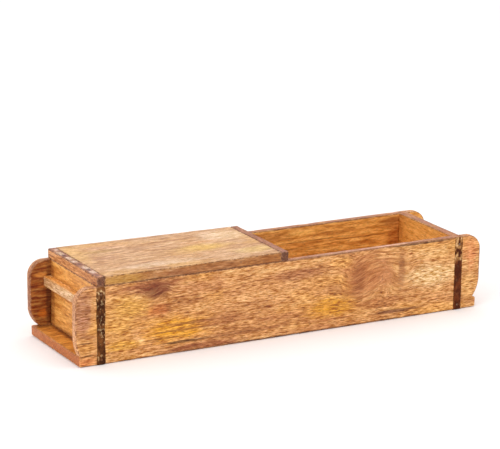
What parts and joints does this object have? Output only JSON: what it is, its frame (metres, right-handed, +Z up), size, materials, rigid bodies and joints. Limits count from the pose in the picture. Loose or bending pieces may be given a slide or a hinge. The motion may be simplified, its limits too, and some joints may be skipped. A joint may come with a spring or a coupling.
{
  "type": "butter mold",
  "caption": "Long nailed wooden mold box with rounded ears, square handle bars, iron straps, a divider inside and a lift-off half lid.",
  "frame": {"origin": "bottom centre of the box, on the surface it stands on", "axes": "+X along the box to its right end, +Y to its back, +Z up"},
  "size_m": [0.6, 0.152, 0.1143],
  "materials": {
    "box_wood": "satin varnish, worn",
    "lid_wood": "satin varnish, worn",
    "cleat_wood": "satin varnish, dark",
    "handle_wood": "satin, pale",
    "hidden_wood": "bare",
    "strap_iron": "hammered, dark brown patina",
    "nail_iron": "dull, worn"
  },
  "bodies": {
    "box": {"base_board": "box_wood", "front_wall": "box_wood", "back_wall": "box_wood", "left_end_wall": "box_wood", "right_end_wall": "box_wood", "divider": "box_wood", "left_handle_bar": "handle_wood", "right_handle_bar": "handle_wood", "left_strap": "strap_iron", "right_strap": "strap_iron", "left_strap_nails": "nail_iron", "right_strap_nails": "nail_iron", "divider_nails": "nail_iron", "base_nails": "nail_iron", "left_handle_nails": "nail_iron", "right_handle_nails": "nail_iron"},
    "lid": {"lid_panel": "lid_wood", "lid_left_cleat": "cleat_wood", "lid_right_cleat": "cleat_wood", "lid_left_batten": "hidden_wood", "lid_right_batten": "hidden_wood", "lid_batten_nails": "nail_iron"}
  },
  "joints": [
    {"name": "lid_lift", "type": "slide", "parent": "box", "child": "lid", "axis": [0, 0, 1], "range_m": [0, 0.15]}
  ]
}
